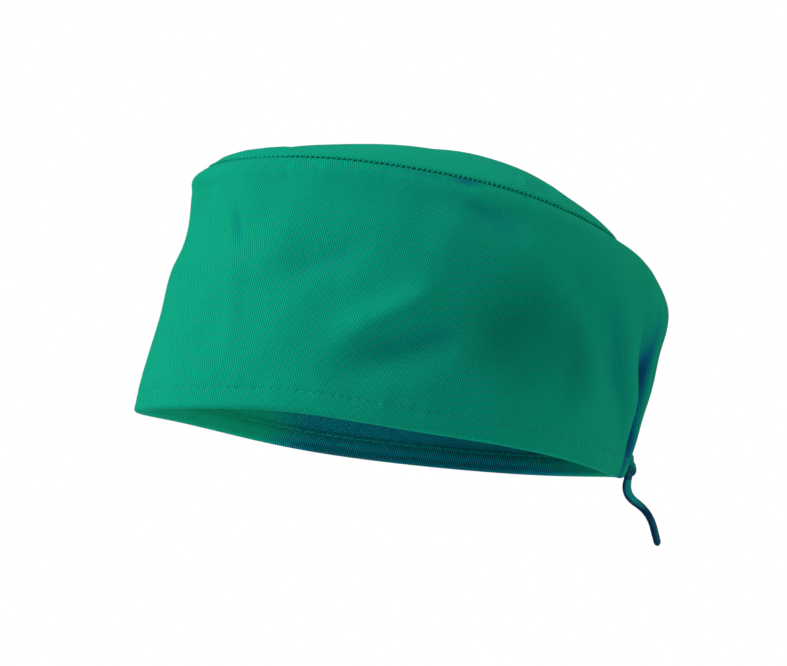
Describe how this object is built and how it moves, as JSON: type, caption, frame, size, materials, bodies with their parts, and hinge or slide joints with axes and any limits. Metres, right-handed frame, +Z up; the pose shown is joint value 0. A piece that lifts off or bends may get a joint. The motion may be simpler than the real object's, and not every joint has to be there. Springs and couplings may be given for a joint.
{
  "type": "sanitary cap",
  "caption": "Tie-back surgical cap of green twill: oval crown sewn to a deep side band, hem with a drawcord knotted at the nape.",
  "frame": {"origin": "middle of the rim, in the rim's plane, where the cap sits on the head", "axes": "+Z up through the crown, -Y to the forehead, +Y to the knot at the nape, +X to the wearer's left"},
  "size_m": [0.1579, 0.2434, 0.1542],
  "materials": {
    "twill": "matte green cotton and polyester twill",
    "cord": "matte darker green folded tape"
  },
  "bodies": {
    "root": {"side_band": "twill", "crown": "twill", "hem_casing": "twill", "drawcord_loop": "cord", "drawcord_knot": "cord", "drawcord_tail": "cord"}
  },
  "joints": []
}
